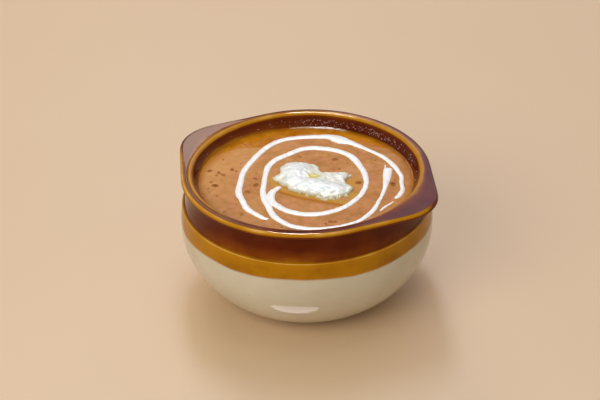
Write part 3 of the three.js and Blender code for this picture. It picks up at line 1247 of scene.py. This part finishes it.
def lentil_material():
    """Whole black lentils, boiled soft and coated in gravy: dark brown, a little glossy."""
    material = new_material("Black lentils, boiled")
    place = add_node(material, "ShaderNodeTexCoord").outputs["Object"]
    coat = add_node(
        material, "ShaderNodeTexNoise", {"Vector": place, "Scale": 1 / 0.0016, "Detail": 3.0}
    ).outputs["Fac"]
    skin = add_node(
        material,
        "ShaderNodeValToRGB",
        {"Fac": coat},
        stops=[(0.35, tone("744018")), (0.5, tone("8E5220")), (0.66, tone("AC703A"))],
    ).outputs["Color"]

    # The gravy laps over each lentil's edge, and over most of a small one
    height = add_node(material, "ShaderNodeSeparateXYZ", {"Vector": place}).outputs["Z"]
    clear = add_node(
        material,
        "ShaderNodeMapRange",
        {"Value": height, "From Min": SURFACE + 0.1 * MM, "From Max": SURFACE + 0.6 * MM},
        interpolation_type="SMOOTHSTEP",
    ).outputs["Result"]
    colour = add_node(
        material, "ShaderNodeMix", {0: clear, 6: tone("B8783E"), 7: skin}, data_type="RGBA"
    ).outputs[2]
    normal = add_node(
        material, "ShaderNodeBump", {"Height": coat, "Strength": 0.6, "Distance": 0.1 * MM}
    ).outputs["Normal"]
    roughness = add_node(
        material, "ShaderNodeMapRange", {"Value": coat, "To Min": 0.4, "To Max": 0.6}
    ).outputs["Result"]
    shader = add_node(
        material,
        "ShaderNodeBsdfPrincipled",
        {
            "Base Color": colour,
            "Roughness": roughness,
            "Normal": normal,
            "IOR": 1.42,
            "Specular IOR Level": 0.04,
        },
    )
    add_node(material, "ShaderNodeOutputMaterial", {"Surface": shader.outputs["BSDF"]})
    return material


def model_droplets(filling):
    """Models one droplet and sets copies of it on the wall above the dal, most on one side."""
    chance = random.Random(11)
    bpy.ops.object.select_all(action="DESELECT")
    bpy.ops.mesh.primitive_ico_sphere_add(subdivisions=2, radius=0.4 * MM)
    first = bpy.context.object
    copies = []
    for number in range(filling.droplets):
        angle = chance.uniform(-180, 180)
        # Every fifth one lies anywhere, and the rest gather on one side
        if number % 5:
            angle = chance.gauss(*SPLASHED_WALL)
        turn = math.radians(angle)
        rise = chance.uniform(0.6, 3.2) * MM
        radius = WALL_RADIUS + rise * WALL_LEAN - 0.05 * MM
        place = (radius * math.cos(turn), radius * math.sin(turn), DAL_LEVEL + rise)
        size = chance.uniform(0.55, 1.0) ** 2
        copies.append(set_copy(first, place, (0, 0, turn), (size * 0.6, size, size)))
    bpy.data.objects.remove(first)
    return join_pieces(copies, "wall_droplets")


def droplet_material():
    """Splashes of gravy and fat on the wall: pale, wet beads."""
    material = new_material("Gravy splashes, dried")
    place = add_node(material, "ShaderNodeTexCoord").outputs["Object"]
    mix = add_node(
        material, "ShaderNodeTexNoise", {"Vector": place, "Scale": 1 / 0.004, "Detail": 2.0}
    ).outputs["Fac"]
    colour = add_node(
        material,
        "ShaderNodeValToRGB",
        {"Fac": mix},
        stops=[(0.35, tone("7E5A50")), (0.65, tone("B79A92"))],
    ).outputs["Color"]
    roughness = add_node(
        material, "ShaderNodeMapRange", {"Value": mix, "To Min": 0.15, "To Max": 0.3}
    ).outputs["Result"]
    shader = add_node(
        material,
        "ShaderNodeBsdfPrincipled",
        {"Base Color": colour, "Roughness": roughness, "IOR": 1.45},
    )
    add_node(material, "ShaderNodeOutputMaterial", {"Surface": shader.outputs["BSDF"]})
    return material


# The stage

# How far the middle of the view lies left of and below the middle of the rim
AIM_LEFT = 3.17 * MM
AIM_BELOW = 15.09 * MM


def floor_material(stage):
    """A pale laminate tabletop: plain and matt, barely uneven in soft clouds."""
    material = new_material("Matt laminate, pale")
    place = add_node(material, "ShaderNodeTexCoord").outputs["Object"]
    soft = add_node(
        material, "ShaderNodeTexNoise", {"Vector": place, "Scale": 1 / 0.25, "Detail": 2.0}
    ).outputs["Fac"]
    colour = add_node(
        material,
        "ShaderNodeValToRGB",
        {"Fac": soft},
        stops=[(0.0, tone("DABA94")), (1.0, stage.floor_colour)],
    ).outputs["Color"]
    shader = add_node(
        material, "ShaderNodeBsdfPrincipled", {"Base Color": colour, "Roughness": 0.6}
    )
    add_node(material, "ShaderNodeOutputMaterial", {"Surface": shader.outputs["BSDF"]})
    return material


def direction(azimuth, elevation):
    """The way from the crock towards a place round it. Azimuth 0 is on -Y and 90 on +X."""
    turn, rise = math.radians(azimuth), math.radians(elevation)
    return Vector(
        (math.sin(turn) * math.cos(rise), -math.cos(turn) * math.cos(rise), math.sin(rise))
    )


def add_light(name, azimuth, elevation, distance, size, power, colour, diffuse=True, glossy=True):
    """Adds a soft box that faces the crock, by its distance and size in metres and its watts."""
    away = direction(azimuth, elevation)
    bpy.ops.object.light_add(type="AREA", location=away * distance + Vector((0, 0, DAL_LEVEL)))
    light = bpy.context.object
    light.name = name
    light.rotation_euler = away.to_track_quat("Z", "Y").to_euler()
    light.data.shape = "RECTANGLE"
    light.data.size, light.data.size_y = size
    light.data.energy = power
    light.data.color = tone(colour)[:3]
    light.visible_diffuse = diffuse
    light.visible_glossy = glossy
    return light


def set_lights(front):
    """Sets the lights round the crock. The front is the azimuth of the camera."""
    behind = front + 180
    # Small and bright, for the glints alone
    add_light("window", behind + 4, 62, 1.2, (0.18, 0.45), 20.0, "FFFFFF", diffuse=False)
    # The glaze mirrors these two
    add_light("back_soft_box_left", behind + 6.3, 33.8, 1.6, (0.15, 0.35), 0.67, "FFF1E8")
    add_light("back_soft_box_right", behind - 22, 30, 1.6, (1.1, 0.8), 3.2, "D8D4FF")
    # These three only lighten the crock
    add_light("back_fill_box", behind + 14, 30, 1.6, (0.65, 0.8), 4.6, "FFF1E8", glossy=False)
    add_light("top_soft_box", behind, 80, 1.6, (1.0, 1.0), 4.0, "FFFFFF", glossy=False)
    add_light("front_soft_box", front - 38, 36, 1.6, (1.2, 1.0), 13.0, "FFFAF2", glossy=False)
    # A small lamp that lies on the floor and faces up, for the glint under the belly
    side = front - 9
    size = (0.032, 0.0105)
    lamp = add_light("reflector", side, 0, 0.0605, size, 0.003, "F4ECFF", diffuse=False)
    lamp.data.shape = "ELLIPSE"
    lamp.location.z = 0.5 * MM
    lamp.rotation_euler = (math.pi, 0, math.radians(side))
    lamp.visible_camera = False


def set_sky():
    """Adds an even, pale sky."""
    world = bpy.data.worlds.new("Soft sky")
    world.use_nodes = True
    sky = world.node_tree.nodes["Background"]
    sky.inputs["Color"].default_value = tone("F2F0EC")
    sky.inputs["Strength"].default_value = 0.4
    bpy.context.scene.world = world


def place_camera(stage):
    """Sets the camera where the bowl is seen from, a little above and to the front."""
    forward = -direction(stage.view_azimuth, stage.view_elevation)
    level = forward.cross(Vector((0, 0, 1))).normalized()
    upward = level.cross(forward)
    eye = Vector((0, 0, CROCK_HEIGHT)) - forward * stage.view_distance
    eye -= level * AIM_LEFT
    eye -= upward * AIM_BELOW
    roll = math.radians(stage.view_roll)
    side = level * math.cos(roll) + upward * math.sin(roll)
    top = upward * math.cos(roll) - level * math.sin(roll)
    turn = Matrix((side, top, -forward)).transposed()
    bpy.ops.object.camera_add()
    camera = bpy.context.object
    camera.name = "view_camera"
    camera.matrix_world = Matrix.Translation(eye) @ turn.to_4x4()
    camera.data.sensor_width = 36
    camera.data.lens = 108
    camera.data.clip_start = 0.05
    camera.data.clip_end = 20
    bpy.context.scene.camera = camera


def set_stage(stage):
    """Adds the floor, the lights, the sky and the camera."""
    bpy.ops.object.select_all(action="DESELECT")
    bpy.ops.mesh.primitive_circle_add(vertices=96, radius=stage.floor_radius, fill_type="NGON")
    floor = bpy.context.object
    floor.name = "floor"
    floor.data.materials.append(floor_material(stage))
    set_lights(stage.view_azimuth)
    set_sky()
    bpy.context.scene.view_settings.view_transform = "Standard"
    place_camera(stage)


# Settings


def length_setting(name, description, default):
    """A length that a user can change."""
    return bpy.props.FloatProperty(
        name=name, description=description, default=default, unit="LENGTH"
    )


def colour_setting(name, description, code):
    """A colour that a user can change, from its sRGB hex code."""
    return bpy.props.FloatVectorProperty(
        name=name,
        description=description,
        default=tone(code),
        size=4,
        subtype="COLOR",
        min=0.0,
        max=1.0,
    )


class CrockSettings(bpy.types.PropertyGroup):
    """Sizes and glazes of the crock"""

    columns: bpy.props.IntProperty(
        name="Columns", description="Vertices in each ring, before smoothing", default=96, min=24
    )
    foot_radius: length_setting("Foot radius", "Outside of the foot ring", 36.5 * MM)
    foot_width: length_setting("Foot width", "Width of the foot ring", 4.2 * MM)
    foot_recess: length_setting("Foot recess", "Depth of the hollow base", 1.6 * MM)
    belly_height: length_setting("Belly height", "Height of the widest place", 37 * MM)
    dip_line: length_setting("Dip line", "Height to which the crock was dipped", 41 * MM)
    shoulder_radius: length_setting("Shoulder radius", "Edge of the step", 60.3 * MM)
    shoulder_height: length_setting("Shoulder height", "Top of the step", 49.6 * MM)
    shoulder_round: length_setting("Shoulder round", "Rounding of the step", 1.1 * MM)
    neck_foot_radius: length_setting("Neck foot", "Neck just above the step", 59 * MM)
    neck_top_radius: length_setting("Neck top", "Neck just under the rim", 58.1 * MM)
    rim_radius: length_setting("Rim radius", "Outside of the rim between the lugs", 60 * MM)
    rim_round: length_setting("Rim round", "Rounding of the rim's edge", 1.8 * MM)
    rim_thickness: length_setting("Rim thickness", "Height of the rim's edge", 2.7 * MM)
    mouth_radius: length_setting("Mouth radius", "Crest of the mouth's bead", 56 * MM)
    bead_round: length_setting("Bead round", "Rounding of the mouth's bead", 1.5 * MM)
    channel_depth: length_setting("Channel depth", "Hollow in the rim's top", 0.17 * MM)
    lug_reach: length_setting("Lug reach", "How far a lug stands past the rim", 9.2 * MM)
    lug_end_radius: length_setting("Lug end radius", "Rounding of a lug's end", 22 * MM)
    lug_gusset: length_setting("Lug gusset", "How far a lug's root reaches down", 2.2 * MM)
    warp: length_setting("Warp", "How far the rim's back stands proud", 0.6 * MM)
    brown_glaze: colour_setting("Brown glaze", "Upper glaze where it lies thick", "561701")
    amber_glaze: colour_setting("Amber glaze", "Upper glaze where it lies thin", "B27806")
    cream_glaze: colour_setting("Cream glaze", "Lower glaze", "D8D0BB")
    clay_colour: colour_setting("Clay", "Unglazed foot", "B59A78")


class FillingSettings(bpy.types.PropertyGroup):
    """The dal and its splashes"""

    gravy_colour: colour_setting("Gravy", "Most of the dal", "CA8C50")
    oil_colour: colour_setting("Oil", "Film that floats by the wall", "D88C16")
    droplets: bpy.props.IntProperty(
        name="Droplets", description="Splashes on the wall above the dal", default=260, min=1
    )


class GarnishSettings(bpy.types.PropertyGroup):
    """The cream and the butter"""

    cream_colour: colour_setting("Cream", "Fresh cream", "FFFFFE")
    cream_flatness: bpy.props.FloatProperty(
        name="Cream flatness",
        description="Height of a stroke against its width",
        default=0.26,
        subtype="FACTOR",
        min=0.1,
        max=1.0,
    )
    butter_colour: colour_setting("Butter", "White butter", "F8FBFC")
    butter_edge: length_setting("Butter edge", "Rounding of the lump's edge", 1.0 * MM)
    dimple_depth: length_setting("Dimple depth", "Hollow for the melted butter", 0.5 * MM)


class StageSettings(bpy.types.PropertyGroup):
    """The floor and the view"""

    floor_colour: colour_setting("Floor", "Pale tabletop", "E0C39E")
    floor_radius: length_setting("Floor radius", "Radius of the floor", 5.0)
    view_azimuth: bpy.props.FloatProperty(
        name="View azimuth", description="Degrees round from the front", default=33.0
    )
    view_elevation: bpy.props.FloatProperty(
        name="View elevation", description="Degrees above the horizon", default=31.174
    )
    view_roll: bpy.props.FloatProperty(
        name="View roll", description="Degrees that the camera leans", default=-1.51
    )
    view_distance: length_setting("View distance", "From the rim's centre", 0.8615)


SETTINGS = {
    "dal_crock": CrockSettings,
    "dal_filling": FillingSettings,
    "dal_garnish": GarnishSettings,
    "dal_stage": StageSettings,
}


# Operators and panel


class DALCROCK_OT_model_crock(bpy.types.Operator):
    """Model the glazed stoneware crock"""

    bl_idname = "dalcrock.model_crock"
    bl_label = "Crock"

    def execute(self, context):
        crock = context.scene.dal_crock
        piece = model_crock(crock)
        finish_piece(piece, glaze_material(crock))
        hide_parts("bowl")
        return {"FINISHED"}


class DALCROCK_OT_pour_dal(bpy.types.Operator):
    """Fill the crock with dal"""

    bl_idname = "dalcrock.pour_dal"
    bl_label = "Dal"

    def execute(self, context):
        piece = model_dal()
        finish_piece(piece, dal_material(context.scene.dal_filling))
        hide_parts("dal")
        return {"FINISHED"}


class DALCROCK_OT_drizzle_cream(bpy.types.Operator):
    """Drizzle the swirl of cream"""

    bl_idname = "dalcrock.drizzle_cream"
    bl_label = "Cream"

    def execute(self, context):
        garnish = context.scene.dal_garnish
        piece = model_cream(garnish)
        finish_piece(piece, cream_material(garnish))
        return {"FINISHED"}


class DALCROCK_OT_lay_butter(bpy.types.Operator):
    """Lay the lump of white butter and its crumbs"""

    bl_idname = "dalcrock.lay_butter"
    bl_label = "Butter"

    def execute(self, context):
        garnish = context.scene.dal_garnish
        material = butter_material(garnish)
        lump = model_butter(garnish)
        finish_piece(lump, material)
        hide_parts("butter")
        finish_piece(model_crumbs(), material)
        return {"FINISHED"}


class DALCROCK_OT_scatter_lentils(bpy.types.Operator):
    """Sink whole lentils in the surface"""

    bl_idname = "dalcrock.scatter_lentils"
    bl_label = "Lentils"

    def execute(self, context):
        finish_piece(model_lentils(), lentil_material())
        return {"FINISHED"}


class DALCROCK_OT_splash_wall(bpy.types.Operator):
    """Set droplets of gravy on the wall above the dal"""

    bl_idname = "dalcrock.splash_wall"
    bl_label = "Droplets"

    def execute(self, context):
        finish_piece(model_droplets(context.scene.dal_filling), droplet_material())
        return {"FINISHED"}


class DALCROCK_OT_set_stage(bpy.types.Operator):
    """Set the floor, the lights and the camera"""

    bl_idname = "dalcrock.set_stage"
    bl_label = "Stage"

    def execute(self, context):
        set_stage(context.scene.dal_stage)
        return {"FINISHED"}


OPERATORS = (
    DALCROCK_OT_model_crock,
    DALCROCK_OT_pour_dal,
    DALCROCK_OT_drizzle_cream,
    DALCROCK_OT_lay_butter,
    DALCROCK_OT_scatter_lentils,
    DALCROCK_OT_splash_wall,
    DALCROCK_OT_set_stage,
)


class DALCROCK_PT_pieces(bpy.types.Panel):
    """Lists the pieces that can be made"""

    bl_idname = "DALCROCK_PT_pieces"
    bl_label = "Dal Crock"
    bl_space_type = "VIEW_3D"
    bl_region_type = "UI"
    bl_category = "Dal Crock"

    def draw(self, context):
        for operator in OPERATORS:
            self.layout.operator(operator.bl_idname)


def register():
    """Registers the settings, the operators and the panel."""
    for kind in (*SETTINGS.values(), *OPERATORS, DALCROCK_PT_pieces):
        bpy.utils.register_class(kind)
    for name, kind in SETTINGS.items():
        setattr(bpy.types.Scene, name, bpy.props.PointerProperty(type=kind))


def unregister():
    """Takes them out again."""
    for name in SETTINGS:
        delattr(bpy.types.Scene, name)
    for kind in (*SETTINGS.values(), *OPERATORS, DALCROCK_PT_pieces):
        bpy.utils.unregister_class(kind)


def main():
    register()
    bpy.ops.dalcrock.model_crock()
    bpy.ops.dalcrock.pour_dal()
    bpy.ops.dalcrock.drizzle_cream()
    bpy.ops.dalcrock.lay_butter()
    bpy.ops.dalcrock.scatter_lentils()
    bpy.ops.dalcrock.splash_wall()
    bpy.ops.dalcrock.set_stage()


if __name__ == "__main__":
    main()
